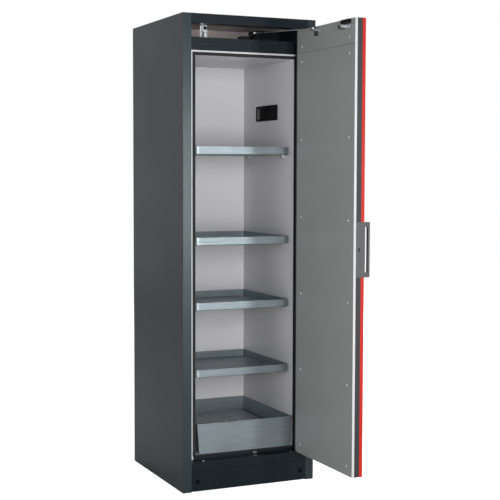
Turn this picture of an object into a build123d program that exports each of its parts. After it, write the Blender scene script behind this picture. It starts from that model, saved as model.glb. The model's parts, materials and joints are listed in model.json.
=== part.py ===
"""Fire-rated safety storage cabinet with one wing door, four tray shelves and a collecting sump.

Millimetres, +Z up.  The origin is the centre of the carcass footprint on the floor and the cabinet
faces -Y.  The model stands with its door open at a right angle, which is the rest position.

Two sets of places are used.  On the carcass, d is the distance behind the front plane.  On the door,
u runs from the hinge axis towards the free edge and v runs from the hinge axis out of the red face.
"""

import os

from build123d import *

os.makedirs("parts", exist_ok=True)

# ---------------------------------------------------------------- driving dimensions
WIDTH, DEPTH, HEIGHT = 599, 615, 1953
SHEET = 1.5  # steel skin
FLANGE = 37.5  # width of each front flange
JAMB = 49.5  # the door closes against a plane this far behind the front
INNER_WIDTH, INNER_DEPTH = 450, 522
FLOOR, CEILING = 142, 1791  # inside faces of the storage space
LINER = 10  # laminated board that lines the storage space
LIP, STRIP_DEPTH = 10, 4  # jamb beyond the lining, and the thickness of the strips on it
EDGE_STRIP, FIRE_STRIP = 7, 13  # widths of the pale strip and the black one inside it

PLINTH_TOP, RAIL_TOP = 87, 123
BASE_HEIGHT = 70
RECESS_FLOOR, RECESS_CEILING, RECESS_BACK = 1864, 1926, 315
FASCIA_BOTTOM = 1914

HINGE_U, DOOR_REACH = 9, 507  # door beyond the hinge axis at the hinge side and the free edge
DOOR_IN, DOOR_OUT = -36, 12  # v of the door's inner and outer faces
PANEL_V, FRAME_V = -26, -4  # v where the inner panel and the dark frame profile end
DOOR_BOTTOM, DOOR_TOP = 129, 1904
HINGE_X, HINGE_D = 247.5, 12  # hinge axis
PIVOT_RADIUS, RUNNING = 6, 0.05  # hinge pin, and radial clearance of every running fit

SHELF_BOTTOMS = (1389, 1011, 739, 458)
SHELF_HALF, SHELF_FRONT, SHELF_BACK, SHELF_LIP = 220, 80, 560, 33
SUMP_FRONT, SUMP_BACK, SUMP_HEIGHT, SUMP_SHIFT = 53, 563, 127, 3
SUMP_TOP_HALF, SUMP_BOTTOM_HALF = 219, 209

# ---------------------------------------------------------------- places worked out from them
HALF = WIDTH / 2
FRONT = -DEPTH / 2
OPENING_HALF = HALF - FLANGE
INNER_HALF = INNER_WIDTH / 2
LINER_HALF = INNER_HALF + LINER
LIP_HALF = LINER_HALF + LIP
INNER_BACK = JAMB + INNER_DEPTH
BOARD_FRONT = JAMB + STRIP_DEPTH
SKIN_HALF = HALF - SHEET
SKIN_BACK = DEPTH - SHEET
SKIN_TOP = HEIGHT - SHEET


def save(piece, name):
    """Label a finished sub-part and write it out under its own name."""
    piece.part.label = name
    export_step(piece.part, f"parts/{name}.step")


def slab(x, d, z, mode=Mode.ADD):
    """A rectangular block between limits across x, at depths d behind the front, at heights z."""
    with Locations(((x[0] + x[1]) / 2, FRONT + (d[0] + d[1]) / 2, (z[0] + z[1]) / 2)):
        Box(x[1] - x[0], d[1] - d[0], z[1] - z[0], mode=mode)


def door_slab(u, v, z, mode=Mode.ADD):
    """A rectangular block in the open door's own places u, v and z."""
    slab((HINGE_X + v[0], HINGE_X + v[1]), (HINGE_D - u[1], HINGE_D - u[0]), z, mode)


def post(x, d, z, radius, mode=Mode.ADD):
    """An upright round bar or hole at x and depth d."""
    with Locations((x, FRONT + d, (z[0] + z[1]) / 2)):
        Cylinder(radius, z[1] - z[0], mode=mode)


def door_post(u, v, z, radius, mode=Mode.ADD):
    """An upright round bar or hole in the open door."""
    post(HINGE_X + v, HINGE_D - u, z, radius, mode)


def cross_bar(x, d, z, radius, mode=Mode.ADD):
    """A round bar or hole that runs across the cabinet, between x limits."""
    with Locations(Location(((x[0] + x[1]) / 2, FRONT + d, z), (0, 90, 0))):
        Cylinder(radius, x[1] - x[0], mode=mode)


def door_cross(u, v, z, radius, mode=Mode.ADD):
    """A round bar or hole square to the open door's faces, between v limits."""
    cross_bar((HINGE_X + v[0], HINGE_X + v[1]), HINGE_D - u, z, radius, mode)


# ================================================================ carcass skin
# The lock bolt of the closed door enters a slot in the left flange return.
LOCK_Z, BOLT_V, BOLT_WIDTH, BOLT_HEIGHT = 1018, -13, 6, 14
KEEPER_D = HINGE_D - BOLT_V
KEEPER_D_LIMITS = (KEEPER_D - 5, KEEPER_D + 5)
KEEPER_Z_LIMITS = (LOCK_Z - 12, LOCK_Z + 12)
KEEPER_POCKET = 285  # the slot's pocket in the fire board reaches this far from the middle
BEND = 2.5  # outside radius of the folded front corner


def side_fold():
    """One side panel folded round the front into a flange, a return and a lip behind the door."""
    slab((-HALF, -SKIN_HALF), (0, DEPTH), (0, SKIN_TOP))
    slab((-HALF, -OPENING_HALF), (0, SHEET), (0, SKIN_TOP))
    slab((-OPENING_HALF - SHEET, -OPENING_HALF), (0, JAMB + SHEET), (0, SKIN_TOP))
    slab((-OPENING_HALF - SHEET, -LIP_HALF), (JAMB, JAMB + SHEET), (0, SKIN_TOP))


def front_corner(piece):
    """The upright outside edge of the front flange."""
    upright = piece.edges().filter_by(Axis.Z).group_by(Axis.Y)[0]
    return ShapeList([upright.sort_by(Axis.X)[0]])


with BuildPart() as left_side_panel:
    side_fold()
    fillet(front_corner(left_side_panel), BEND)
    slab((-OPENING_HALF - SHEET, -OPENING_HALF), KEEPER_D_LIMITS, KEEPER_Z_LIMITS, Mode.SUBTRACT)
save(left_side_panel, "left_side_panel")

with BuildPart() as plain_side:
    side_fold()
    fillet(front_corner(plain_side), BEND)
with BuildPart() as right_side_panel:
    mirror(plain_side.part, about=Plane.YZ)
save(right_side_panel, "right_side_panel")

with BuildPart() as rear_panel:
    slab((-SKIN_HALF, SKIN_HALF), (SKIN_BACK, DEPTH), (0, SKIN_TOP))
save(rear_panel, "rear_panel")

# Two air connections stand on the roof, one over each duct.
SPIGOT_X, SPIGOT_D, SPIGOT_RADIUS, SPIGOT_WALL, SPIGOT_TOP = 95, 376.5, 37.5, 2, 1988
COLLAR_RADIUS = 48  # intumescent collar in the roof board
FIT_GAP = 0.5

with BuildPart() as top_panel:
    slab((-HALF, HALF), (0, DEPTH), (SKIN_TOP, HEIGHT))
    fillet(top_panel.edges().filter_by(Axis.Z), 2)
    for x in (-SPIGOT_X, SPIGOT_X):
        post(x, SPIGOT_D, (SKIN_TOP, HEIGHT), SPIGOT_RADIUS + FIT_GAP, Mode.SUBTRACT)
save(top_panel, "top_panel")

with BuildPart() as fascia:
    slab((-OPENING_HALF, OPENING_HALF), (0, SHEET), (FASCIA_BOTTOM, SKIN_TOP))
    slab((-OPENING_HALF, OPENING_HALF), (0, JAMB), (FASCIA_BOTTOM, FASCIA_BOTTOM + SHEET))
save(fascia, "fascia")

HEADER_BOTTOM, HEADER_FOLD = CEILING + LINER + LIP, 1838
with BuildPart() as header_panel:
    slab((-LIP_HALF, LIP_HALF), (JAMB, JAMB + SHEET), (HEADER_FOLD, RECESS_FLOOR))
    slab((-LIP_HALF, LIP_HALF), (JAMB + 1, JAMB + 1 + SHEET), (HEADER_BOTTOM, HEADER_FOLD))
save(header_panel, "header_panel")

PLUG_X, PLUG_Z, PLUG_RADIUS = 235, 42, 8
with BuildPart() as plinth_cover:
    slab((-OPENING_HALF, OPENING_HALF), (0, SHEET), (3, PLINTH_TOP - 1))
    slab((-OPENING_HALF, OPENING_HALF), (0, 6), (PLINTH_TOP - 1 - SHEET, PLINTH_TOP - 1))
    slab((-OPENING_HALF, OPENING_HALF), (0, 6), (3, 3 + SHEET))
    with BuildSketch(Plane.XZ.offset(-FRONT)):
        with Locations((-PLUG_X, PLUG_Z), (PLUG_X, PLUG_Z)):
            Circle(PLUG_RADIUS)
    extrude(amount=-2 * SHEET, mode=Mode.SUBTRACT)
save(plinth_cover, "plinth_cover")

with BuildPart() as plinth_plugs:
    with BuildSketch(Plane.XZ.offset(-FRONT)):
        with Locations((-PLUG_X, PLUG_Z), (PLUG_X, PLUG_Z)):
            Circle(PLUG_RADIUS + 1.5)
    extrude(amount=1)
    with BuildSketch(Plane.XZ.offset(-FRONT)):
        with Locations((-PLUG_X, PLUG_Z), (PLUG_X, PLUG_Z)):
            Circle(PLUG_RADIUS)
    extrude(amount=-5)
    rims = plinth_plugs.edges().filter_by(GeomType.CIRCLE).group_by(Axis.Y)[0]
    fillet(rims, 0.6)
save(plinth_plugs, "plinth_plugs")

# The rail below the door: front face, ledge and the sill that the door closes against.
SILL_TOP, SILL_HALF = 136, 234.5
RAIL_SCREW_X, RAIL_SCREW_D, RAIL_SCREW_SHANK = 202, 18, 2.5
RAIL_SCREW_HEAD, HEAD_HEIGHT, HEAD_SLOT = 4.5, 1.6, 1
with BuildPart() as bottom_rail:
    slab((-OPENING_HALF, OPENING_HALF), (0, SHEET), (PLINTH_TOP, RAIL_TOP))
    slab((-OPENING_HALF, OPENING_HALF), (0, 7), (PLINTH_TOP, PLINTH_TOP + SHEET))
    slab((-OPENING_HALF, OPENING_HALF), (0, JAMB), (RAIL_TOP - SHEET, RAIL_TOP))
    slab((-SILL_HALF, SILL_HALF), (JAMB, JAMB + SHEET), (RAIL_TOP - SHEET, SILL_TOP))
    for x in (-RAIL_SCREW_X, RAIL_SCREW_X):
        post(x, RAIL_SCREW_D, (RAIL_TOP - 5, RAIL_TOP), RAIL_SCREW_SHANK, Mode.SUBTRACT)
save(bottom_rail, "bottom_rail")

with BuildPart() as rail_screws:
    for x in (-RAIL_SCREW_X, RAIL_SCREW_X):
        post(x, RAIL_SCREW_D, (RAIL_TOP, RAIL_TOP + HEAD_HEIGHT), RAIL_SCREW_HEAD)
    fillet(rail_screws.faces().sort_by(Axis.Z)[-2:].edges(), 0.8)
    for x in (-RAIL_SCREW_X, RAIL_SCREW_X):
        post(x, RAIL_SCREW_D, (RAIL_TOP - 12, RAIL_TOP), RAIL_SCREW_SHANK)
        slot_x = (x - HEAD_SLOT / 2, x + HEAD_SLOT / 2)
        slot_d = (RAIL_SCREW_D - 3, RAIL_SCREW_D + 3)
        slab(slot_x, slot_d, (RAIL_TOP + HEAD_HEIGHT / 2, RAIL_TOP + HEAD_HEIGHT), Mode.SUBTRACT)
save(rail_screws, "rail_screws")

SILL_PLATE_X, SILL_PLATE_Z = 46, 129.5
with BuildPart() as sill_catch_plate:
    with BuildSketch(Plane.XZ.offset(-FRONT - JAMB)):
        with Locations((SILL_PLATE_X, SILL_PLATE_Z)):
            SlotOverall(18, 8)
    extrude(amount=1)
save(sill_catch_plate, "sill_catch_plate")

# ================================================================ base
BAR = 45  # width of the base frame's bars
FOOT_X, FOOT_D_LIMITS = 222, (80, 535)
with BuildPart() as base_frame:
    with BuildSketch():
        with Locations((0, FRONT + DEPTH / 2 + 3)):
            Rectangle(2 * SKIN_HALF, SKIN_BACK - 8)
            Rectangle(2 * (SKIN_HALF - BAR), SKIN_BACK - 8 - 2 * BAR, mode=Mode.SUBTRACT)
    extrude(amount=BASE_HEIGHT)
    slab((-OPENING_HALF - SHEET, -LIP_HALF), (0, JAMB + SHEET), (0, BASE_HEIGHT), Mode.SUBTRACT)
    slab((LIP_HALF, OPENING_HALF + SHEET), (0, JAMB + SHEET), (0, BASE_HEIGHT), Mode.SUBTRACT)
save(base_frame, "base_frame")

with BuildPart() as levelling_feet:
    for x in (-FOOT_X, FOOT_X):
        for d in FOOT_D_LIMITS:
            post(x, d, (0, 7), 20)
            post(x, d, (7, BASE_HEIGHT), 6)
            with BuildSketch(Plane((x, FRONT + d, 30))):
                RegularPolygon(11, 6)
            extrude(amount=8)
save(levelling_feet, "levelling_feet")

# ================================================================ fire boards
# Air ducts climb inside the side boards and cross behind the recess to the roof connections.
GRILLE_D, GRILLE_Z = (213, 432), (1543, 1610)
DUCT_X, DUCT_D, DUCT_Z = (237, 261), (223, 423), (1545, 1858)
NECK_D, NECK_TOP, DUCT_WALL = (330, 423), 1912, 1.2
CROSS_X, CROSS_BOTTOM = 50, 1866
ROOF_BOARD_BOTTOM = RECESS_CEILING + SHEET


def side_board():
    """The left side's fire board: the wall, the filling of the front flange and the duct's channel."""
    slab((-SKIN_HALF, -LINER_HALF), (BOARD_FRONT, SKIN_BACK), (BASE_HEIGHT + 2, SKIN_TOP))
    slab((-SKIN_HALF, -OPENING_HALF - SHEET), (SHEET, BOARD_FRONT), (BASE_HEIGHT + 2, SKIN_TOP))
    slab((-DUCT_X[1] - 1, -LINER_HALF), (DUCT_D[0] - 1, DUCT_D[1] + 1),
         (DUCT_Z[0] - 1, DUCT_Z[1] + 1), Mode.SUBTRACT)
    slab((-DUCT_X[1] - 1, -LINER_HALF), (NECK_D[0] - 1, NECK_D[1] + 1),
         (DUCT_Z[1], NECK_TOP + 1), Mode.SUBTRACT)
    slab((-KEEPER_POCKET, -OPENING_HALF - SHEET), (KEEPER_D_LIMITS[0] - 2, KEEPER_D_LIMITS[1] + 2),
         (KEEPER_Z_LIMITS[0] - 2, KEEPER_Z_LIMITS[1] + 2), Mode.SUBTRACT)
    slab((-LIP_HALF - SHEET, -LINER_HALF), (JAMB, RECESS_BACK + SHEET),
         (RECESS_FLOOR - SHEET, ROOF_BOARD_BOTTOM), Mode.SUBTRACT)


with BuildPart() as side_fire_boards:
    side_board()
    fillet(front_corner(side_fire_boards), BEND)
    mirror(about=Plane.YZ)
save(side_fire_boards, "side_fire_boards")

with BuildPart() as top_fire_boards:
    slab((-LINER_HALF, LINER_HALF), (BOARD_FRONT, INNER_BACK + LINER),
         (CEILING + LINER, RECESS_FLOOR - SHEET))
    slab((-LINER_HALF, LINER_HALF), (JAMB + SHEET, INNER_BACK + LINER), (ROOF_BOARD_BOTTOM, SKIN_TOP))
    for x in (-SPIGOT_X, SPIGOT_X):
        post(x, SPIGOT_D, (ROOF_BOARD_BOTTOM, SKIN_TOP), COLLAR_RADIUS, Mode.SUBTRACT)
save(top_fire_boards, "top_fire_boards")

with BuildPart() as bottom_fire_board:
    slab((-LINER_HALF, LINER_HALF), (BOARD_FRONT, INNER_BACK + LINER), (BASE_HEIGHT + 2, FLOOR - LINER))
save(bottom_fire_board, "bottom_fire_board")

with BuildPart() as rear_fire_board:
    slab((-LINER_HALF, LINER_HALF), (INNER_BACK + LINER, SKIN_BACK), (BASE_HEIGHT + 2, SKIN_TOP))
save(rear_fire_board, "rear_fire_board")

# ================================================================ lining of the storage space
PEG_D_LIMITS, PEG_RADIUS, PEG_DEPTH = (148, 500), 3, 8
HOLE_PITCH, HOLES_EACH_WAY = 32, 2
PEG_Z = [bottom - 5 for bottom in SHELF_BOTTOMS]

with BuildPart() as side_liners:
    slab((-LINER_HALF, -INNER_HALF), (BOARD_FRONT, INNER_BACK + LINER), (FLOOR, CEILING))
    slab((-LINER_HALF, -INNER_HALF), (GRILLE_D[0] + 8, GRILLE_D[1] - 8),
         (GRILLE_Z[0] + 8, GRILLE_Z[1] - 8), Mode.SUBTRACT)
    for shelf_z in PEG_Z:
        for row in range(-HOLES_EACH_WAY, HOLES_EACH_WAY + 1):
            for d in PEG_D_LIMITS:
                cross_bar((-INNER_HALF - PEG_DEPTH, -INNER_HALF), d, shelf_z + row * HOLE_PITCH,
                          PEG_RADIUS, Mode.SUBTRACT)
    mirror(about=Plane.YZ)
save(side_liners, "side_liners")

with BuildPart() as rear_liner:
    slab((-INNER_HALF, INNER_HALF), (INNER_BACK, INNER_BACK + LINER), (FLOOR, CEILING))
save(rear_liner, "rear_liner")

with BuildPart() as ceiling_liner:
    slab((-LINER_HALF, LINER_HALF), (BOARD_FRONT, INNER_BACK + LINER), (CEILING, CEILING + LINER))
save(ceiling_liner, "ceiling_liner")

with BuildPart() as floor_liner:
    slab((-LINER_HALF, LINER_HALF), (BOARD_FRONT, INNER_BACK + LINER), (FLOOR - LINER, FLOOR))
save(floor_liner, "floor_liner")

# Two rings of strips lie on the jamb: a pale outer one and a black one that swells in a fire.
FIRE_STRIP_OUT = LIP_HALF - EDGE_STRIP
FIRE_STRIP_IN = FIRE_STRIP_OUT - FIRE_STRIP
FIRE_STRIP_TOP = HEADER_BOTTOM - EDGE_STRIP
with BuildPart() as frame_edge_strips:
    slab((-LIP_HALF, LIP_HALF), (JAMB, BOARD_FRONT), (FIRE_STRIP_TOP, HEADER_BOTTOM))
    for side in (-1, 1):
        ends = sorted((side * FIRE_STRIP_OUT, side * LIP_HALF))
        slab(ends, (JAMB, BOARD_FRONT), (RAIL_TOP, FIRE_STRIP_TOP))
save(frame_edge_strips, "frame_edge_strips")

with BuildPart() as intumescent_strips:
    slab((-FIRE_STRIP_OUT, FIRE_STRIP_OUT), (JAMB, BOARD_FRONT),
         (FIRE_STRIP_TOP - FIRE_STRIP, FIRE_STRIP_TOP))
    slab((-LINER_HALF, LINER_HALF), (JAMB, BOARD_FRONT), (SILL_TOP, FLOOR))
    for side in (-1, 1):
        ends = sorted((side * FIRE_STRIP_IN, side * FIRE_STRIP_OUT))
        slab(ends, (JAMB, BOARD_FRONT), (FLOOR, FIRE_STRIP_TOP - FIRE_STRIP))
save(intumescent_strips, "intumescent_strips")

# ================================================================ ventilation
SLATS, SLAT_PITCH = 9, 5.6
with BuildPart() as air_grilles:
    slab((INNER_HALF - 3, INNER_HALF), GRILLE_D, GRILLE_Z)
    fillet(air_grilles.edges().filter_by(Axis.X), 4)
    fillet(air_grilles.faces().sort_by(Axis.X)[0].edges(), 1)
    slab((INNER_HALF - 3, INNER_HALF), (GRILLE_D[0] + 9, GRILLE_D[1] - 9),
         (GRILLE_Z[0] + 9, GRILLE_Z[1] - 9), Mode.SUBTRACT)
    for row in range(SLATS):
        z = GRILLE_Z[0] + 10 + row * SLAT_PITCH
        slab((INNER_HALF - 2.5, INNER_HALF), (GRILLE_D[0] + 9, GRILLE_D[1] - 9), (z, z + 2.6))
    mirror(about=Plane.YZ)
save(air_grilles, "air_grilles")


def duct_run(wall):
    """The duct's outline, pulled in by a wall thickness: a riser, a neck and a cross run."""
    mode = Mode.SUBTRACT if wall else Mode.ADD
    slab((DUCT_X[0] + wall, DUCT_X[1] - wall), (DUCT_D[0] + wall, DUCT_D[1] - wall),
         (DUCT_Z[0] + wall, DUCT_Z[1] - wall), mode)
    slab((DUCT_X[0] + wall, DUCT_X[1] - wall), (NECK_D[0] + wall, NECK_D[1] - wall),
         (DUCT_Z[1] - 5, NECK_TOP - wall), mode)
    slab((CROSS_X + wall, DUCT_X[1] - wall), (NECK_D[0] + wall, NECK_D[1] - wall),
         (CROSS_BOTTOM + wall, NECK_TOP - wall), mode)


with BuildPart() as air_ducts:
    duct_run(0)
    duct_run(DUCT_WALL)
    slab((DUCT_X[0], DUCT_X[0] + DUCT_WALL), (GRILLE_D[0] + 18, GRILLE_D[1] - 18),
         (GRILLE_Z[0] + 9, GRILLE_Z[1] - 9), Mode.SUBTRACT)
    post(SPIGOT_X, SPIGOT_D, (NECK_TOP - DUCT_WALL, NECK_TOP), SPIGOT_RADIUS - SPIGOT_WALL,
         Mode.SUBTRACT)
    mirror(about=Plane.YZ)
save(air_ducts, "air_ducts")

with BuildPart() as roof_spigots:
    for x in (-SPIGOT_X, SPIGOT_X):
        post(x, SPIGOT_D, (NECK_TOP, SPIGOT_TOP), SPIGOT_RADIUS)
        post(x, SPIGOT_D, (HEIGHT, HEIGHT + 2), SPIGOT_RADIUS + 14)
        post(x, SPIGOT_D, (NECK_TOP, SPIGOT_TOP), SPIGOT_RADIUS - SPIGOT_WALL, Mode.SUBTRACT)
save(roof_spigots, "roof_spigots")

with BuildPart() as spigot_fire_collars:
    for x in (-SPIGOT_X, SPIGOT_X):
        post(x, SPIGOT_D, (ROOF_BOARD_BOTTOM, SKIN_TOP), COLLAR_RADIUS)
        post(x, SPIGOT_D, (ROOF_BOARD_BOTTOM, SKIN_TOP), SPIGOT_RADIUS, Mode.SUBTRACT)
save(spigot_fire_collars, "spigot_fire_collars")

# ================================================================ door closer in the recess
# Arm and link make a parallelogram with the door, so the arm turns exactly as the door does.
LINK_U, LINK_V = 176, -46  # the link's pin on the door, from the hinge axis
LINK_X, LINK_D = HINGE_X + LINK_V, HINGE_D - LINK_U
ELBOW_X, ELBOW_D = 52, 76
ARM_X, ARM_D = ELBOW_X - LINK_V, ELBOW_D + LINK_U
ARM_Z, LINK_Z = (1886, 1891), (1892, 1898)
ELBOW_PIN, LINK_PIN = 4, 2.5
CLOSER_X, VALVE_X, CLOSER_D = (ARM_X - 24, 240), (128, 240), (222, 306)
CLOSER_TOP, VALVE_TOP = 1884, 1924

RECESS_D = (JAMB + SHEET, RECESS_BACK + SHEET)
with BuildPart() as recess_lining:
    slab((-LIP_HALF, LIP_HALF), RECESS_D, (RECESS_FLOOR - SHEET, RECESS_FLOOR))
    slab((-LIP_HALF, LIP_HALF), RECESS_D, (RECESS_CEILING, ROOF_BOARD_BOTTOM))
    slab((-LIP_HALF, LIP_HALF), (RECESS_BACK, RECESS_BACK + SHEET), (RECESS_FLOOR, RECESS_CEILING))
    for side in (-1, 1):
        ends = sorted((side * LIP_HALF, side * (LIP_HALF + SHEET)))
        slab(ends, RECESS_D, (RECESS_FLOOR - SHEET, ROOF_BOARD_BOTTOM))
save(recess_lining, "recess_lining")

with BuildPart() as closer_body:
    slab(CLOSER_X, CLOSER_D, (RECESS_FLOOR, CLOSER_TOP))
    slab(VALVE_X, CLOSER_D, (CLOSER_TOP, VALVE_TOP))
    fillet(closer_body.edges().filter_by(Axis.Z), 5)
    fillet(closer_body.faces().sort_by(Axis.Z)[-1].edges(), 3)
    post(ARM_X, ARM_D, (CLOSER_TOP - 10, CLOSER_TOP), PIVOT_RADIUS + RUNNING, Mode.SUBTRACT)
save(closer_body, "closer_body")

with BuildPart() as closer_arm:
    arm_ends = (Vector(ARM_X, FRONT + ARM_D), Vector(ELBOW_X, FRONT + ELBOW_D))
    with BuildSketch(Plane.XY.offset(ARM_Z[0])):
        SlotCenterPoint((arm_ends[0] + arm_ends[1]) / 2, arm_ends[1], 18)
    extrude(amount=ARM_Z[1] - ARM_Z[0])
    post(ARM_X, ARM_D, (CLOSER_TOP + 0.5, ARM_Z[1] + 2), 12)
    post(ARM_X, ARM_D, (CLOSER_TOP - 9, ARM_Z[1] + 4), PIVOT_RADIUS)
    post(ELBOW_X, ELBOW_D, (ARM_Z[1], LINK_Z[1] + 1), ELBOW_PIN)
save(closer_arm, "closer_arm")

# The link's eye turns on the elbow pin, and its far eye hangs round the door's pin with some play.
LINK_PLAY, ROD_RADIUS, ELBOW_EYE, DOOR_EYE = 0.6, 2.4, 8, 6
with BuildPart() as closer_link:
    rod_ends = (Vector(ELBOW_X, FRONT + ELBOW_D), Vector(LINK_X, FRONT + LINK_D))
    middle_z = (LINK_Z[0] + LINK_Z[1]) / 2
    with BuildSketch(Plane(rod_ends[0] + Vector(0, 0, middle_z), z_dir=rod_ends[1] - rod_ends[0])):
        Circle(ROD_RADIUS)
    extrude(amount=(rod_ends[1] - rod_ends[0]).length)
    post(ELBOW_X, ELBOW_D, LINK_Z, ELBOW_EYE)
    post(LINK_X, LINK_D, LINK_Z, DOOR_EYE)
    post(ELBOW_X, ELBOW_D, LINK_Z, ELBOW_PIN + RUNNING, Mode.SUBTRACT)
    post(LINK_X, LINK_D, LINK_Z, LINK_PIN + LINK_PLAY, Mode.SUBTRACT)
save(closer_link, "closer_link")

# A small catch with a bright bolt holds the door open until heat releases it.
with BuildPart() as hold_open_catch:
    slab((-4, 40), (94, 132), (RECESS_FLOOR, 1878))
    fillet(hold_open_catch.edges().filter_by(Axis.Z), 4)
    slab((4, 20), (94, 132), (1878, 1883))
    with BuildSketch(Plane((31, FRONT + 104, 1878))):
        RegularPolygon(6.5, 6)
    extrude(amount=5)
save(hold_open_catch, "hold_open_catch")

# The keeper hangs from the recess's ceiling and holds an upright roller for the door's fork.
ROLLER_X, ROLLER_D, ROLLER_Z, ROLLER_RADIUS, ROLLER_PIN = -176, 69, (1868, 1886), 6, 2.5
HANGER_X, TAB_X, TAB_D, KEEPER_SHEET = (-192, -162), (-186, -166), (63, 80), 3
with BuildPart() as strike_bracket:
    slab(HANGER_X, (TAB_D[1], TAB_D[1] + KEEPER_SHEET), (RECESS_FLOOR + 2, RECESS_CEILING))
    slab((-203, -150), (TAB_D[1], 104), (RECESS_CEILING - KEEPER_SHEET, RECESS_CEILING))
    slab(TAB_X, TAB_D, (ROLLER_Z[1] + 0.5, ROLLER_Z[1] + 3.5))
    slab(TAB_X, TAB_D, (ROLLER_Z[0] - 2.5, ROLLER_Z[0] - 0.5))
    post(ROLLER_X, ROLLER_D, (ROLLER_Z[0] - 2.5, ROLLER_Z[1] + 3.5), ROLLER_PIN)
save(strike_bracket, "strike_bracket")

with BuildPart() as strike_roller:
    post(ROLLER_X, ROLLER_D, ROLLER_Z, ROLLER_RADIUS)
    fillet(strike_roller.edges().filter_by(GeomType.CIRCLE), 1)
    post(ROLLER_X, ROLLER_D, ROLLER_Z, ROLLER_PIN + RUNNING, Mode.SUBTRACT)
save(strike_roller, "strike_roller")

# ================================================================ door hinges
BRACKET_X, BRACKET_D, BRACKET_THICK = (198, 260), (3, 40), 4
LOWER_BRACKET = (RAIL_TOP, RAIL_TOP + BRACKET_THICK)
UPPER_BRACKET = (FASCIA_BOTTOM - BRACKET_THICK, FASCIA_BOTTOM)
LOWER_PIN = (RAIL_TOP, DOOR_BOTTOM + 20)
UPPER_PIN = (DOOR_TOP - 20, FASCIA_BOTTOM)
BUSH_RADIUS, BUSH_LENGTH = 9, 22

with BuildPart() as hinge_brackets:
    for z in (LOWER_BRACKET, UPPER_BRACKET):
        slab(BRACKET_X, BRACKET_D, z)
        post(HINGE_X, HINGE_D, z, PIVOT_RADIUS, Mode.SUBTRACT)
    post(RAIL_SCREW_X, RAIL_SCREW_D, LOWER_BRACKET, 6, Mode.SUBTRACT)
save(hinge_brackets, "hinge_brackets")

with BuildPart() as hinge_pins:
    for z in (LOWER_PIN, UPPER_PIN):
        post(HINGE_X, HINGE_D, z, PIVOT_RADIUS)
    fillet(hinge_pins.edges().filter_by(GeomType.CIRCLE).group_by(Axis.Z)[1], 1)
save(hinge_pins, "hinge_pins")

with BuildPart() as pivot_bushes:
    for z in ((DOOR_BOTTOM, DOOR_BOTTOM + BUSH_LENGTH), (DOOR_TOP - BUSH_LENGTH, DOOR_TOP)):
        door_post(0, 0, z, BUSH_RADIUS)
        door_post(0, 0, z, PIVOT_RADIUS + RUNNING, Mode.SUBTRACT)
save(pivot_bushes, "pivot_bushes")

# ================================================================ door
DOOR_Z = (DOOR_BOTTOM, DOOR_TOP)
PANEL_SPLIT, SPLIT_GAP = 1807, 1
EDGE_BAR, EDGE_BAND, SEAL_WIDTH = 25, 2, 25
SCREW_U, SCREW_HEAD, SCREW_SHANK, SCREW_LENGTH = (60, 463), 4.5, 2.1, 18
LOWEST_SCREW, SCREW_PITCH, SCREW_ROWS, TOP_SCREW = 167, 321, 6, 1834
SCREW_Z = [LOWEST_SCREW + SCREW_PITCH * row for row in range(SCREW_ROWS)] + [TOP_SCREW]
LOCK_U, LOCK_BODY, PLUG_BORE = 440, 9, 6


def screw_holes():
    """Holes for the screws that hold the inner panels."""
    for u in SCREW_U:
        for z in SCREW_Z:
            door_cross(u, (DOOR_IN, DOOR_IN + SCREW_LENGTH), z, SCREW_SHANK, Mode.SUBTRACT)


def bush_holes():
    """Holes at both ends of the door for its pivot bushes."""
    door_post(0, 0, (DOOR_BOTTOM, DOOR_BOTTOM + BUSH_LENGTH), BUSH_RADIUS, Mode.SUBTRACT)
    door_post(0, 0, (DOOR_TOP - BUSH_LENGTH, DOOR_TOP), BUSH_RADIUS, Mode.SUBTRACT)


def outer_uprights(piece):
    """The two upright edges of the door's outer face."""
    return piece.edges().filter_by(Axis.Z).group_by(Axis.X)[-1]


with BuildPart() as door_outer_panel:
    door_slab((-HINGE_U, DOOR_REACH), (FRAME_V, DOOR_OUT), DOOR_Z)
    fillet(outer_uprights(door_outer_panel), 4)
    offset(amount=-SHEET, openings=door_outer_panel.faces().sort_by(Axis.X)[0])
    bush_holes()
    door_cross(LOCK_U, (FRAME_V, DOOR_OUT), LOCK_Z, LOCK_BODY, Mode.SUBTRACT)
save(door_outer_panel, "door_outer_panel")

BOLT_V_LIMITS = (BOLT_V - BOLT_WIDTH / 2, BOLT_V + BOLT_WIDTH / 2)
BOLT_Z_LIMITS = (LOCK_Z - BOLT_HEIGHT / 2, LOCK_Z + BOLT_HEIGHT / 2)
SLIDE_GAP = 0.3
SLOT_V = (BOLT_V_LIMITS[0] - SLIDE_GAP, BOLT_V_LIMITS[1] + SLIDE_GAP)
SLOT_Z = (BOLT_Z_LIMITS[0] - SLIDE_GAP, BOLT_Z_LIMITS[1] + SLIDE_GAP)

with BuildPart() as door_edge_frame:
    door_slab((-HINGE_U, DOOR_REACH), (PANEL_V, FRAME_V), DOOR_Z)
    door_slab((-HINGE_U + EDGE_BAR, DOOR_REACH - EDGE_BAR), (PANEL_V, FRAME_V),
              (DOOR_BOTTOM + EDGE_BAR, DOOR_TOP - EDGE_BAR), Mode.SUBTRACT)
    door_slab((DOOR_REACH - EDGE_BAR, DOOR_REACH), SLOT_V, SLOT_Z, Mode.SUBTRACT)
    bush_holes()
save(door_edge_frame, "door_edge_frame")

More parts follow.
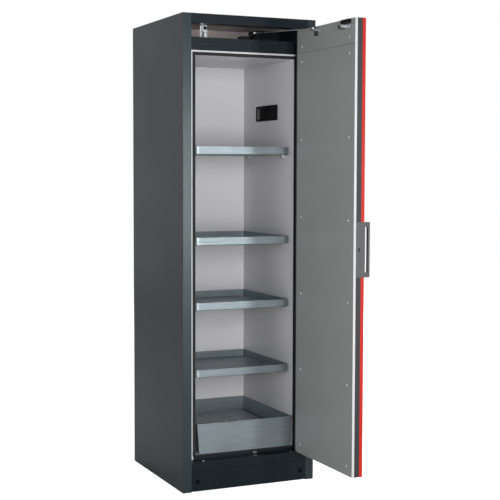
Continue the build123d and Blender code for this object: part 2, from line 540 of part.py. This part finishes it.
with BuildPart() as door_fire_core:
    door_slab((-HINGE_U + SHEET, DOOR_REACH - SHEET), (FRAME_V, DOOR_OUT - SHEET),
              (DOOR_BOTTOM + SHEET, DOOR_TOP - SHEET))
    fillet(outer_uprights(door_fire_core), 4)
    door_slab((-HINGE_U + EDGE_BAR, DOOR_REACH - EDGE_BAR), (PANEL_V, FRAME_V),
              (DOOR_BOTTOM + EDGE_BAR, DOOR_TOP - EDGE_BAR))
    bush_holes()
    screw_holes()
    door_cross(LOCK_U, (SLOT_V[1], DOOR_OUT), LOCK_Z, LOCK_BODY, Mode.SUBTRACT)
    door_slab((LOCK_U - 16, DOOR_REACH - EDGE_BAR), SLOT_V, (LOCK_Z - 16, LOCK_Z + 16), Mode.SUBTRACT)
save(door_fire_core, "door_fire_core")

BOARD_U = (-HINGE_U + SEAL_WIDTH, DOOR_REACH - EDGE_BAND)
with BuildPart() as door_inner_panel:
    door_slab(BOARD_U, (DOOR_IN, PANEL_V), (DOOR_BOTTOM, PANEL_SPLIT - SPLIT_GAP / 2))
    screw_holes()
save(door_inner_panel, "door_inner_panel")

with BuildPart() as door_upper_panel:
    door_slab(BOARD_U, (DOOR_IN, PANEL_V), (PANEL_SPLIT + SPLIT_GAP / 2, DOOR_TOP))
    screw_holes()
save(door_upper_panel, "door_upper_panel")

with BuildPart() as door_edge_bands:
    door_slab((BOARD_U[1], DOOR_REACH), (DOOR_IN, PANEL_V), (DOOR_BOTTOM, PANEL_SPLIT - SPLIT_GAP / 2))
    door_slab((BOARD_U[1], DOOR_REACH), (DOOR_IN, PANEL_V), (PANEL_SPLIT + SPLIT_GAP / 2, DOOR_TOP))
save(door_edge_bands, "door_edge_bands")

with BuildPart() as door_hinge_seal:
    door_slab((-HINGE_U + 2, BOARD_U[0] - 2), (PANEL_V - 6, PANEL_V), (DOOR_BOTTOM + 5, DOOR_TOP - 5))
save(door_hinge_seal, "door_hinge_seal")

with BuildPart() as door_panel_screws:
    for u in SCREW_U:
        for z in SCREW_Z:
            door_cross(u, (DOOR_IN - 1.4, DOOR_IN), z, SCREW_HEAD)
            door_cross(u, (DOOR_IN, DOOR_IN + SCREW_LENGTH), z, SCREW_SHANK)
    heads = door_panel_screws.edges().filter_by(GeomType.CIRCLE).group_by(Axis.X)[0]
    fillet(heads, 0.7)
save(door_panel_screws, "door_panel_screws")

# ---- what is fixed to the door's inner face
with BuildPart() as closer_bracket:
    door_slab((LINK_U - 5, LINK_U + 33), (DOOR_IN - 2, DOOR_IN), (RECESS_FLOOR + 2, DOOR_TOP - 1))
    fillet(closer_bracket.edges().filter_by(Axis.X), 2)
    door_slab((LINK_U - 5, LINK_U + 12), (LINK_V - 5, DOOR_IN - 2), ARM_Z)
    door_post(LINK_U, LINK_V, (ARM_Z[1], LINK_Z[1] + 3), LINK_PIN)
save(closer_bracket, "closer_bracket")

CATCH_U = HINGE_X - ROLLER_X
FORK_GAP, PRONG, PRONG_TIP = 9.5, 3, -62
with BuildPart() as catch_plate:
    door_slab((386, 477), (DOOR_IN - 3, DOOR_IN), ROLLER_Z)
    fillet(catch_plate.edges().filter_by(Axis.X), 4)
    for near in (-FORK_GAP - PRONG, FORK_GAP):
        door_slab((CATCH_U + near, CATCH_U + near + PRONG), (PRONG_TIP, DOOR_IN - 3),
                  (ROLLER_Z[0] + 3, ROLLER_Z[1] - 3))
save(catch_plate, "catch_plate")

with BuildPart() as catch_housing:
    door_slab((404, 474), (-46, DOOR_IN), (ROLLER_Z[1] + 1, DOOR_TOP - 1))
    fillet(catch_housing.edges().filter_by(Axis.X), 3)
    fillet(catch_housing.faces().sort_by(Axis.X)[0].edges(), 2)
save(catch_housing, "catch_housing")

# ---- handle: a slim bow near the free edge, on a plate that wraps round that edge
HANDLE_Z, BOW_U, FOOT_U = (911, 1125), (493, 506), 468
PLATE, PAD, FINGER_GAP, GRIP, BOW_END = 1.2, 1.5, 14, 9.5, 19
GRIP_IN = DOOR_OUT + PAD + FINGER_GAP
with BuildPart() as door_handle:
    door_slab(BOW_U, (DOOR_OUT, GRIP_IN + GRIP), HANDLE_Z)
    fillet(door_handle.faces().sort_by(Axis.X)[-1].edges().filter_by(Axis.Y), 4)
    fillet(door_handle.faces().sort_by(Axis.X)[-1].edges().filter_by(Axis.Z), 3)
    door_slab(BOW_U, (DOOR_OUT + PAD, GRIP_IN), (HANDLE_Z[0] + BOW_END, HANDLE_Z[1] - BOW_END),
              Mode.SUBTRACT)
    door_slab((FOOT_U, DOOR_REACH + PLATE), (DOOR_OUT, DOOR_OUT + PAD), HANDLE_Z)
    door_slab((DOOR_REACH, DOOR_REACH + PLATE), (PANEL_V, DOOR_OUT), HANDLE_Z)
    door_slab((DOOR_REACH, DOOR_REACH + PLATE), SLOT_V, SLOT_Z, Mode.SUBTRACT)
save(door_handle, "door_handle")

# ---- lock: a cylinder in the door, its plug, and a bolt that leaves the free edge
BOLT_LENGTH, ROSETTE, PLUG_END, KEYWAY = 58, 3, BOLT_V_LIMITS[1] + 1, 1.4
with BuildPart() as lock_cylinder:
    door_cross(LOCK_U, (DOOR_OUT, DOOR_OUT + ROSETTE), LOCK_Z, 15)
    fillet(lock_cylinder.faces().sort_by(Axis.X)[-1].edges(), 1.5)
    door_cross(LOCK_U, (PLUG_END, DOOR_OUT), LOCK_Z, LOCK_BODY)
    door_cross(LOCK_U, (PLUG_END, DOOR_OUT + ROSETTE), LOCK_Z, PLUG_BORE + RUNNING, Mode.SUBTRACT)
save(lock_cylinder, "lock_cylinder")

with BuildPart() as lock_plug:
    door_cross(LOCK_U, (PLUG_END, DOOR_OUT + ROSETTE + 0.5), LOCK_Z, PLUG_BORE)
    fillet(lock_plug.faces().sort_by(Axis.X)[-1].edges(), 0.5)
    door_slab((LOCK_U - KEYWAY / 2, LOCK_U + KEYWAY / 2), (DOOR_OUT - 9, DOOR_OUT + ROSETTE + 1),
              (LOCK_Z - 4, LOCK_Z + 4), Mode.SUBTRACT)
save(lock_plug, "lock_plug")

with BuildPart() as lock_bolt:
    door_slab((DOOR_REACH - 1 - BOLT_LENGTH, DOOR_REACH - 1), BOLT_V_LIMITS, BOLT_Z_LIMITS)
    fillet(lock_bolt.edges().filter_by(Axis.Y), 1)
save(lock_bolt, "lock_bolt")

# ================================================================ inside the storage space
with BuildPart() as shelf_pegs:
    for bottom, z in zip(SHELF_BOTTOMS, PEG_Z):
        for d in PEG_D_LIMITS:
            cross_bar((INNER_HALF - PEG_DEPTH, INNER_HALF + PEG_DEPTH), d, z, PEG_RADIUS)
            slab((INNER_HALF - 14, INNER_HALF), (d - 7, d + 7), (bottom - 9, bottom))
    mirror(about=Plane.YZ)
save(shelf_pegs, "shelf_pegs")

TRAY_SHEET, TRAY_CORNER = 1.5, 25


def shelf_tray(bottom):
    """A shallow leak-proof tray with large round corners at the front."""
    with BuildPart() as tray:
        slab((-SHELF_HALF, SHELF_HALF), (SHELF_FRONT, SHELF_BACK), (bottom, bottom + SHELF_LIP))
        fillet(tray.edges().filter_by(Axis.Z).group_by(Axis.Y)[0], TRAY_CORNER)
        fillet(tray.edges().filter_by(Axis.Z).group_by(Axis.Y)[-1], 6)
        fillet(tray.faces().sort_by(Axis.Z)[0].edges(), 3)
        offset(amount=-TRAY_SHEET, openings=tray.faces().sort_by(Axis.Z)[-1])
    return tray


for number, shelf_bottom in enumerate(SHELF_BOTTOMS, start=1):
    save(shelf_tray(shelf_bottom), f"shelf_tray_{number}")

SUMP_DEPTH, SUMP_MIDDLE = SUMP_BACK - SUMP_FRONT, FRONT + (SUMP_FRONT + SUMP_BACK) / 2
with BuildPart() as sump_tray:
    for z, half in ((FLOOR, SUMP_BOTTOM_HALF), (FLOOR + SUMP_HEIGHT, SUMP_TOP_HALF)):
        with BuildSketch(Plane.XY.offset(z)):
            with Locations((SUMP_SHIFT, SUMP_MIDDLE)):
                Rectangle(2 * half, SUMP_DEPTH)
    loft()
    offset(amount=-2, openings=sump_tray.faces().sort_by(Axis.Z)[-1])
save(sump_tray, "sump_tray")

INSERT_Z, INSERT_HALF, PERFORATION, PERFORATION_PITCH = 206, 205, 7, 36
with BuildPart() as sump_insert:
    insert_x = (SUMP_SHIFT - INSERT_HALF, SUMP_SHIFT + INSERT_HALF)
    insert_d = (SUMP_FRONT + 8, SUMP_BACK - 8)
    slab(insert_x, insert_d, (INSERT_Z - TRAY_SHEET, INSERT_Z))
    for end in (insert_d[0], insert_d[1] - TRAY_SHEET):
        slab(insert_x, (end, end + TRAY_SHEET), (FLOOR + 2, INSERT_Z))
    with BuildSketch(Plane((SUMP_SHIFT, SUMP_MIDDLE, INSERT_Z))):
        with GridLocations(PERFORATION_PITCH, PERFORATION_PITCH, 10, 12):
            Circle(PERFORATION)
    extrude(amount=-TRAY_SHEET, mode=Mode.SUBTRACT)
save(sump_insert, "sump_insert")
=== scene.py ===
"""Looks of a fire-rated safety storage cabinet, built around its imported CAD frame. Metres, +Z up."""

import json
from math import cos, pi, radians, sin

import bmesh
import bpy
from mathutils import Matrix, Vector


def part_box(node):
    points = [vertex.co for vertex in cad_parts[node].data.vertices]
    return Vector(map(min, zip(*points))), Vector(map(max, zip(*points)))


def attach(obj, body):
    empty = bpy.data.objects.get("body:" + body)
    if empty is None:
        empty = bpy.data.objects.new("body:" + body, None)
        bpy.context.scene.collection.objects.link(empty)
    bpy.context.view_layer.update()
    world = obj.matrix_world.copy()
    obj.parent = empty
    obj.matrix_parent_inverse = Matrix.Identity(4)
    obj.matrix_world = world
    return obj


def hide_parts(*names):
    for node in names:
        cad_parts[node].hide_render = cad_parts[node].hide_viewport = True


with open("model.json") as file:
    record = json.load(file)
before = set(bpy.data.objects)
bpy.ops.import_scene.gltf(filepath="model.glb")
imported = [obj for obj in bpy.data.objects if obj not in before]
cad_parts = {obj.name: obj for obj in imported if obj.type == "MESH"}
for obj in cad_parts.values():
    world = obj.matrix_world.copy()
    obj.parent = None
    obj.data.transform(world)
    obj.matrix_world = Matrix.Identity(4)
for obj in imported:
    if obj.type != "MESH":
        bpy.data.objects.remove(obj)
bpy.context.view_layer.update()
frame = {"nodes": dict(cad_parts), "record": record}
nodes = frame["nodes"]
scene = bpy.context.scene


# ---------------------------------------------------------------- materials
def linear(r, g, b):
    """A colour given as 0-255 screen values, as the linear colour the shader wants."""
    return tuple(
        (c / 3294.6) if c <= 10.3 else ((c / 255 + 0.055) / 1.055) ** 2.4 for c in (r, g, b)
    )


def noise(tree, scale, stretch=(1, 1, 1), detail=3.0, rough=0.55):
    """Noise over the object's own coordinates, drawn out along an axis by a small stretch there."""
    coords = tree.nodes.new("ShaderNodeTexCoord")
    mapping = tree.nodes.new("ShaderNodeMapping")
    mapping.inputs["Scale"].default_value = stretch
    texture = tree.nodes.new("ShaderNodeTexNoise")
    texture.inputs["Scale"].default_value = scale
    texture.inputs["Detail"].default_value = detail
    texture.inputs["Roughness"].default_value = rough
    tree.links.new(coords.outputs["Object"], mapping.inputs["Vector"])
    tree.links.new(mapping.outputs["Vector"], texture.inputs["Vector"])
    return texture.outputs["Fac"]


def spread(tree, value, low, high, start=0.15, end=0.85):
    """A texture's value taken from its middle range to the range low to high."""
    node = tree.nodes.new("ShaderNodeMapRange")
    node.inputs["From Min"].default_value = start
    node.inputs["From Max"].default_value = end
    node.inputs["To Min"].default_value = low
    node.inputs["To Max"].default_value = high
    tree.links.new(value, node.inputs["Value"])
    return node.outputs["Result"]


def blend_colour(tree, factor, first, second):
    """A colour between first and second, each a linear colour or another node's output."""
    node = tree.nodes.new("ShaderNodeMix")
    node.data_type = "RGBA"
    tree.links.new(factor, node.inputs["Factor"])
    for socket, colour in ((node.inputs["A"], first), (node.inputs["B"], second)):
        if isinstance(colour, tuple):
            socket.default_value = (*colour, 1)
        else:
            tree.links.new(colour, socket)
    return node.outputs["Result"]


def surface(name, colour, shade=0.05, patch=5.0, rough=0.5, rough_vary=0.06, smudge=9.0,
            grain=900.0, height=0.00003, stretch=(1, 1, 1), speck=0.0, speck_scale=1400.0, **sockets):
    """A material with drifting colour, smudged roughness and a fine bumped grain."""
    material = bpy.data.materials.new(name)
    material.use_nodes = True
    tree = material.node_tree
    shader = tree.nodes["Principled BSDF"]
    for socket, value in sockets.items():
        shader.inputs[socket.replace("_", " ")].default_value = value

    darker = tuple(c * (1 - shade) for c in colour)
    lighter = tuple(min(1.0, c * (1 + shade)) for c in colour)
    drift = spread(tree, noise(tree, patch), 0, 1)
    tint = blend_colour(tree, drift, darker, lighter)
    if speck:
        fleck = spread(tree, noise(tree, speck_scale, stretch, 2), 0, speck, 0.35, 0.65)
        tint = blend_colour(tree, fleck, tint, tuple(c * 0.45 for c in colour))
    tree.links.new(tint, shader.inputs["Base Color"])

    smear = noise(tree, smudge, detail=2)
    tree.links.new(spread(tree, smear, rough - rough_vary, rough + rough_vary), shader.inputs["Roughness"])

    bump = tree.nodes.new("ShaderNodeBump")
    bump.inputs["Distance"].default_value = height
    tree.links.new(noise(tree, grain, stretch, 2), bump.inputs["Height"])
    tree.links.new(bump.outputs["Normal"], shader.inputs["Normal"])
    return material


BRUSHED_ACROSS = (0.02, 1, 1)
DRAWN_UPRIGHT, RUN_UPRIGHT = (1, 1, 0.03), (1, 1, 0.05)
COAT = {"patch": 1.6, "rough_vary": 0.05, "smudge": 3.0, "grain": 1300, "height": 0.00004, "speck": 0.10,
        "speck_scale": 1000}
# The side and front coats are one anthracite paint in two copies: the side coat is the lighter copy, painted
# light on the side, rear and top panels; the front coat is the darker copy, painted shade on the parts in the
# anthracite slot.
lit_side_paint = surface(
    "anthracite_lit_side_coat", linear(36, 46, 50), shade=0.04, rough=0.30, **COAT,
    Specular_IOR_Level=0.4, Specular_Tint=(0.86, 1.0, 1.0, 1),
)
shaded_front_paint = surface(
    "anthracite_shaded_front_coat", linear(14, 22, 28), shade=0.05, rough=0.36, **COAT,
    Specular_IOR_Level=0.22, Specular_Tint=(0.8, 0.95, 1.0, 1),
)
red = surface(
    "red_powder_coat", linear(172, 27, 13), shade=0.04, patch=3.0, rough=0.36, grain=1000, height=0.00005,
    Specular_IOR_Level=0.3,
)
profile = surface(
    "edge_profile_film", linear(27, 28, 33), shade=0.06, patch=4.0, rough=0.55, grain=800, height=0.00004,
    stretch=DRAWN_UPRIGHT, speck=0.15,
)
board = surface(
    "mineral_board", linear(222, 219, 212), shade=0.06, patch=12.0, rough=0.85, rough_vary=0.05, grain=500,
    height=0.0002, speck=0.15,
)
laminate = surface(
    "grey_laminate", linear(206, 205, 208), shade=0.025, patch=2.5, rough=0.34, rough_vary=0.05, grain=1500,
    height=0.00002, speck=0.04, speck_scale=2200,
)
# The door laminate is the grey laminate made darker: painted shade on the door's inner face, which the light
# only grazes.
door_laminate = surface(
    "door_laminate", linear(146, 148, 147), shade=0.03, patch=2.0, rough=0.40, grain=1500, height=0.00002,
    speck=0.05, speck_scale=2200,
)
pale_strip = surface(
    "pale_strip", linear(186, 186, 189), shade=0.03, patch=8.0, rough=0.45, rough_vary=0.05, grain=700,
    stretch=RUN_UPRIGHT,
)
black_seal = surface(
    "black_seal", linear(11, 11, 12), shade=0.15, patch=20.0, rough=0.75, rough_vary=0.08, height=0.0001,
    speck=0.2,
)
galvanised = surface(
    "galvanised_steel", linear(168, 172, 174), shade=0.12, patch=45.0, rough=0.42, rough_vary=0.1,
    smudge=60, grain=600, height=0.00004, speck=0.25, speck_scale=160, Metallic=0.9,
)
recess_paint = surface(
    "recess_primer", linear(178, 169, 166), shade=0.06, rough_vary=0.07, height=0.00005, speck=0.12,
)
brushed = surface(
    "brushed_tray_steel", linear(134, 145, 150), shade=0.10, patch=4.0, rough=0.42, smudge=14, grain=420,
    height=0.00006, stretch=BRUSHED_ACROSS, speck=0.42, speck_scale=420, Metallic=0.85,
)
bright = surface(
    "bright_steel", linear(168, 171, 174), shade=0.06, patch=40.0, rough=0.28, rough_vary=0.08, smudge=90,
    height=0.00002, speck=0.12, speck_scale=500, Metallic=1.0,
)
black_plastic = surface(
    "black_plastic", linear(12, 12, 12), shade=0.12, patch=30.0, rough_vary=0.08, grain=1300,
    height=0.00008, speck=0.15, Specular_IOR_Level=0.15,
)
grille_plastic = surface(
    "grille_plastic", linear(5, 5, 5), shade=0.12, patch=30.0, rough=0.6, rough_vary=0.08, grain=1300,
    height=0.00008, speck=0.15, Specular_IOR_Level=0.05,
)
handle_plastic = surface(
    "handle_plastic", linear(66, 67, 69), shade=0.06, patch=15.0, rough=0.42, rough_vary=0.07, grain=1400,
    height=0.00006, speck=0.12,
)
zinc = surface(
    "zinc_screw_steel", linear(232, 233, 235), patch=60.0, rough=0.38, rough_vary=0.08, smudge=120,
    grain=1500, height=0.00002, speck=0.1, speck_scale=900, Metallic=0.45,
)
blackened = surface(
    "blackened_steel", linear(44, 44, 46), shade=0.1, patch=40.0, rough=0.4, rough_vary=0.08, Metallic=0.8,
)
bush_plastic = surface(
    "bush_plastic", linear(214, 208, 190), patch=60.0, grain=1200, height=0.00005,
)

FINISH = {
    "anthracite_paint": shaded_front_paint,
    "red_paint": red,
    "edge_profile": profile,
    "fire_board": board,
    "grey_laminate": laminate,
    "door_laminate": door_laminate,
    "pale_strip": pale_strip,
    "black_seal": black_seal,
    "galvanised_steel": galvanised,
    "recess_paint": recess_paint,
    "brushed_tray": brushed,
    "bright_steel": bright,
    "black_plastic": black_plastic,
    "handle_plastic": handle_plastic,
    "bush_plastic": bush_plastic,
}


def wear(obj, material):
    """Give every material slot of an object this one material."""
    obj.data.materials.clear()
    obj.data.materials.append(material)


for part in frame["record"]["subparts"]:
    wear(nodes[part["node"]], FINISH[part["material_slot"]])
for name in ("left_side_panel", "right_side_panel", "rear_panel", "top_panel"):
    wear(nodes[name], lit_side_paint)
for name in ("air_grilles", "plinth_plugs"):
    wear(nodes[name], grille_plastic)
for name in ("air_ducts", "lock_bolt"):
    wear(nodes[name], blackened)
wear(nodes["strike_bracket"], galvanised)
wear(nodes["rail_screws"], zinc)


# ---------------------------------------------------------------- fasteners
def clusters(node, reach):
    """The middle of each bunch of a node's vertices that lie within reach of one of them."""
    bunches = []
    for vertex in nodes[node].data.vertices:
        near = next((bunch for bunch in bunches if (bunch[0] - vertex.co).length < reach), None)
        if near is None:
            bunches.append([vertex.co.copy()])
        else:
            near.append(vertex.co.copy())
    return [
        Vector((min(v[axis] for v in bunch) + max(v[axis] for v in bunch)) / 2 for axis in range(3))
        for bunch in bunches
    ]


def finished(mesh, name, material):
    """The mesh data made from a bmesh, in one material."""
    data = bpy.data.meshes.new(name)
    mesh.to_mesh(data)
    mesh.free()
    data.materials.append(material)
    return data


def turned(name, profile, sides, material):
    """A solid spun round Z from (radius, height) points, closed at both ends."""
    mesh = bmesh.new()
    angles = [2 * pi * k / sides for k in range(sides)]
    rings = [[mesh.verts.new((r * cos(a), r * sin(a), z)) for a in angles] for r, z in profile]
    for low, high in zip(rings, rings[1:]):
        for k in range(sides):
            mesh.faces.new((low[k], low[(k + 1) % sides], high[(k + 1) % sides], high[k]))
    mesh.faces.new(tuple(reversed(rings[0])))
    mesh.faces.new(tuple(rings[-1]))
    return finished(mesh, name, material)


def fasten(piece, body):
    """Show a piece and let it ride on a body."""
    scene.collection.objects.link(piece)
    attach(piece, body)
    return piece


def place(name, data, spot, facing, body, slot):
    """Fasten a turned solid at a spot, with its top towards facing."""
    piece = bpy.data.objects.new(name, data)
    piece.rotation_euler = Vector(facing).to_track_quat("Z", "Y").to_euler()
    piece.location = spot
    return fasten(piece, body)


# The dome and the cross recess of a pan head, as shares of its radius and height.
DOME = ((1, 0), (1, 0.3), (0.94, 0.6), (0.75, 0.85), (0.4, 0.97))
CROSS_LENGTH, CROSS_WIDTH, CROSS_MIDDLE = 1.15, 0.26, 0.8
HEAD_SIDES = 32


def recessed_head(name, radius, height, material):
    """A pan head with a cross recess cut into its dome."""
    dome = [(radius * across, height * up) for across, up in DOME]
    head = bpy.data.objects.new(name, turned(name, dome, HEAD_SIDES, material))
    scene.collection.objects.link(head)
    for turn in (0, pi / 2):
        middle = (0, 0, CROSS_MIDDLE * height)
        bpy.ops.mesh.primitive_cube_add(size=1, location=middle, rotation=(0, 0, turn))
        cutter = bpy.context.object
        cutter.scale = (CROSS_LENGTH * radius, CROSS_WIDTH * radius, height)
        bpy.context.view_layer.update()
        cut = head.modifiers.new("recess", "BOOLEAN")
        cut.operation, cut.object, cut.solver = "DIFFERENCE", cutter, "EXACT"
        bpy.context.view_layer.objects.active = head
        bpy.ops.object.modifier_apply(modifier=cut.name)
        bpy.data.objects.remove(cutter)
    mesh = head.data
    bpy.data.objects.remove(head)
    return mesh


FOLD_IN_SHEETS = 8


def folded_plate(name, x, y, z, sheet, material, body):
    """A thin upright sheet that faces -X, with its top and bottom edges folded over."""
    mesh = bmesh.new()
    lip = FOLD_IN_SHEETS * sheet
    outline = [
        (0, z[0]), (-lip, z[0]), (-lip, z[0] + sheet), (-sheet, z[0] + sheet),
        (-sheet, z[1] - sheet), (-lip, z[1] - sheet), (-lip, z[1]), (0, z[1]),
    ]
    ends = [[mesh.verts.new((x + dx, end, height)) for dx, height in outline] for end in y]
    for k in range(len(outline)):
        after = (k + 1) % len(outline)
        mesh.faces.new((ends[0][k], ends[0][after], ends[1][after], ends[1][k]))
    mesh.faces.new(tuple(reversed(ends[0])))
    mesh.faces.new(tuple(ends[1]))
    bmesh.ops.recalc_face_normals(mesh, faces=mesh.faces)
    return fasten(bpy.data.objects.new(name, finished(mesh, name, material)), body)


SCREW_RADIUS, SCREW_HEIGHT, SCREW_REACH = 0.0045, 0.0016, 0.04
screw_mesh = recessed_head("panel_screw", SCREW_RADIUS, SCREW_HEIGHT, zinc)
panel_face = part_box("door_inner_panel")[0].x
for number, middle in enumerate(clusters("door_panel_screws", SCREW_REACH), start=1):
    screw = place(f"panel_screw_{number}", screw_mesh, (panel_face, middle.y, middle.z), (-1, 0, 0),
                  "door", "bright_steel")
    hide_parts("door_panel_screws")

# A dark plate covers the recess's right wall in front of the closer: painted shade, where that wall lies in
# the shadow of the door and fascia.
lining_low, lining_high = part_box("recess_lining")
closer_low, closer_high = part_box("closer_body")
PLATE_SHEET, WALL_GAP, FRONT_GAP, REAR_GAP, LOWER_GAP, UPPER_GAP = 0.001, 0.0013, 0.004, 0.002, 0.0006, 0.0022
plate_x = closer_high.x - WALL_GAP
plate_y = (lining_low.y + FRONT_GAP, closer_low.y - REAR_GAP)
plate_z = (closer_low.z + LOWER_GAP, lining_high.z - UPPER_GAP)
folded_plate("recess_shade_plate", plate_x, plate_y, plate_z, PLATE_SHEET, shaded_front_paint, "carcass")

# Two bolts and a round stop sit on the keeper's plate, above its roller.
HEX_SIDES, STOP_SIDES = 6, 24
HEX_BOLT = ((0.0062, 0), (0.0062, 0.0004), (0.0055, 0.0006), (0.0055, 0.0038), (0.0049, 0.0044))
STOP = ((0.007, 0), (0.007, 0.004), (0.0055, 0.0055))
PLATE_SETBACK = 0.024  # from the back of the keeper to the front of its plate
BOLT_DROPS, BOLT_ASIDE = (0.0275, 0.0135), -0.0085
STOP_DROP, STOP_ASIDE = 0.021, 0.006
keeper_low, keeper_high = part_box("strike_bracket")
keeper_x = (keeper_low.x + keeper_high.x) / 2
plate_front = keeper_high.y - PLATE_SETBACK
bolt_mesh = turned("hex_bolt", HEX_BOLT, HEX_SIDES, bright)
for number, drop in enumerate(BOLT_DROPS, start=1):
    place(f"keeper_bolt_{number}", bolt_mesh, (keeper_x + BOLT_ASIDE, plate_front, keeper_high.z - drop),
          (0, -1, 0), "carcass", "bright_steel")
stop_mesh = turned("keeper_guard", STOP, STOP_SIDES, black_plastic)
place("keeper_guard", stop_mesh, (keeper_x + STOP_ASIDE, plate_front, keeper_high.z - STOP_DROP),
      (0, -1, 0), "carcass", "black_plastic")

# ---------------------------------------------------------------- floor, light and camera
FLOOR_SIZE, FLOOR_DROP, FLOOR_GLOW, BOUNCE = 16, 0.0002, 0.8, (0.62, 0.62, 0.62, 1)
FRONT_DIM, REAR_BRIGHT = 0.13, 0.5
FADE_FROM, FADE_TO = -0.5, 0.9
WHITE = (1, 1, 1, 1)


def split_by_camera(tree, cast, shown, output):
    """Light the room by one shader and show the camera another."""
    path = tree.nodes.new("ShaderNodeLightPath")
    mix = tree.nodes.new("ShaderNodeMixShader")
    tree.links.new(path.outputs["Is Camera Ray"], mix.inputs["Fac"])
    tree.links.new(cast, mix.inputs[1])
    tree.links.new(shown, mix.inputs[2])
    tree.links.new(mix.outputs["Shader"], tree.nodes[output].inputs["Surface"])


def calm_bounce(tree):
    """Let the floor look white but throw back only the light of a mid-grey one."""
    grey = tree.nodes.new("ShaderNodeBsdfDiffuse")
    grey.inputs["Color"].default_value = BOUNCE
    lit = tree.nodes["Principled BSDF"]
    split_by_camera(tree, grey.outputs["BSDF"], lit.outputs["BSDF"], "Material Output")


def light_studio(tree):
    """A white backdrop whose light on the object fades from the rear of the room to its front."""
    dim, white = tree.nodes["Background"], tree.nodes.new("ShaderNodeBackground")
    dim.inputs["Color"].default_value = WHITE
    white.inputs["Color"].default_value = WHITE
    coords = tree.nodes.new("ShaderNodeTexCoord")
    split = tree.nodes.new("ShaderNodeSeparateXYZ")
    tree.links.new(coords.outputs["Generated"], split.inputs["Vector"])
    fade = spread(tree, split.outputs["Y"], FRONT_DIM, REAR_BRIGHT, FADE_FROM, FADE_TO)
    tree.links.new(fade, dim.inputs["Strength"])
    split_by_camera(tree, dim.outputs["Background"], white.outputs["Background"], "World Output")


bpy.ops.mesh.primitive_plane_add(size=FLOOR_SIZE, location=(0, 0, -FLOOR_DROP))
floor = bpy.context.object
floor.name = "floor"
floor_finish = surface(
    "pale_floor", linear(248, 248, 249), shade=0.005, patch=0.6, rough=0.8, rough_vary=0.05, grain=60,
    height=0.0001, Emission_Color=WHITE, Emission_Strength=FLOOR_GLOW,
)
calm_bounce(floor_finish.node_tree)
wear(floor, floor_finish)

scene.view_settings.view_transform = "Standard"
world = bpy.data.worlds.new("studio")
world.use_nodes = True
scene.world = world
light_studio(world.node_tree)


def soft_light(name, place, target, size, power):
    """A soft rectangular light that faces a target."""
    data = bpy.data.lights.new(name, "AREA")
    data.shape = "RECTANGLE"
    data.size, data.size_y = size
    data.energy = power
    light = bpy.data.objects.new(name, data)
    light.location = place
    light.rotation_euler = (Vector(target) - Vector(place)).to_track_quat("-Z", "Y").to_euler()
    scene.collection.objects.link(light)


# Each light: name, place, target, size across and up, power.
soft_light("key", (-0.9, -5.2, 1.35), (0, 0, 1.0), (1.6, 2.2), 188)
soft_light("left_fill", (-5.4, -2.4, 1.5), (0.2, -0.3, 1.0), (2.0, 2.6), 55)
soft_light("right_fill", (5.2, -1.8, 2.4), (0, 0, 1.0), (2.5, 2.5), 170)
soft_light("rear_fill", (2.2, 5.6, 2.6), (0, 0, 1.0), (2.5, 2.5), 150)
soft_light("sheen", (1.17, -4.0, 1.2), (-0.28, -0.3, 1.2), (0.3, 1.2), 36)

CAMERA_AT = Vector((-2.0317, -4.7894, 1.3171))
YAW, PITCH, ROLL = radians(24.371), radians(3.760), radians(0.144)
FOCAL_LENGTH = 85.6
forward = Vector((sin(YAW) * cos(PITCH), cos(YAW) * cos(PITCH), -sin(PITCH)))
right = Vector((cos(YAW), -sin(YAW), 0))
up = right.cross(forward)
across = right * cos(ROLL) + up * sin(ROLL)
upright = up * cos(ROLL) - right * sin(ROLL)
lens = bpy.data.cameras.new("camera")
lens.lens, lens.sensor_width, lens.clip_end = FOCAL_LENGTH, 36, 200
camera = bpy.data.objects.new("camera", lens)
turn = Matrix((across, upright, -forward)).transposed().to_4x4()
camera.matrix_world = Matrix.Translation(CAMERA_AT) @ turn
scene.collection.objects.link(camera)
scene.camera = camera
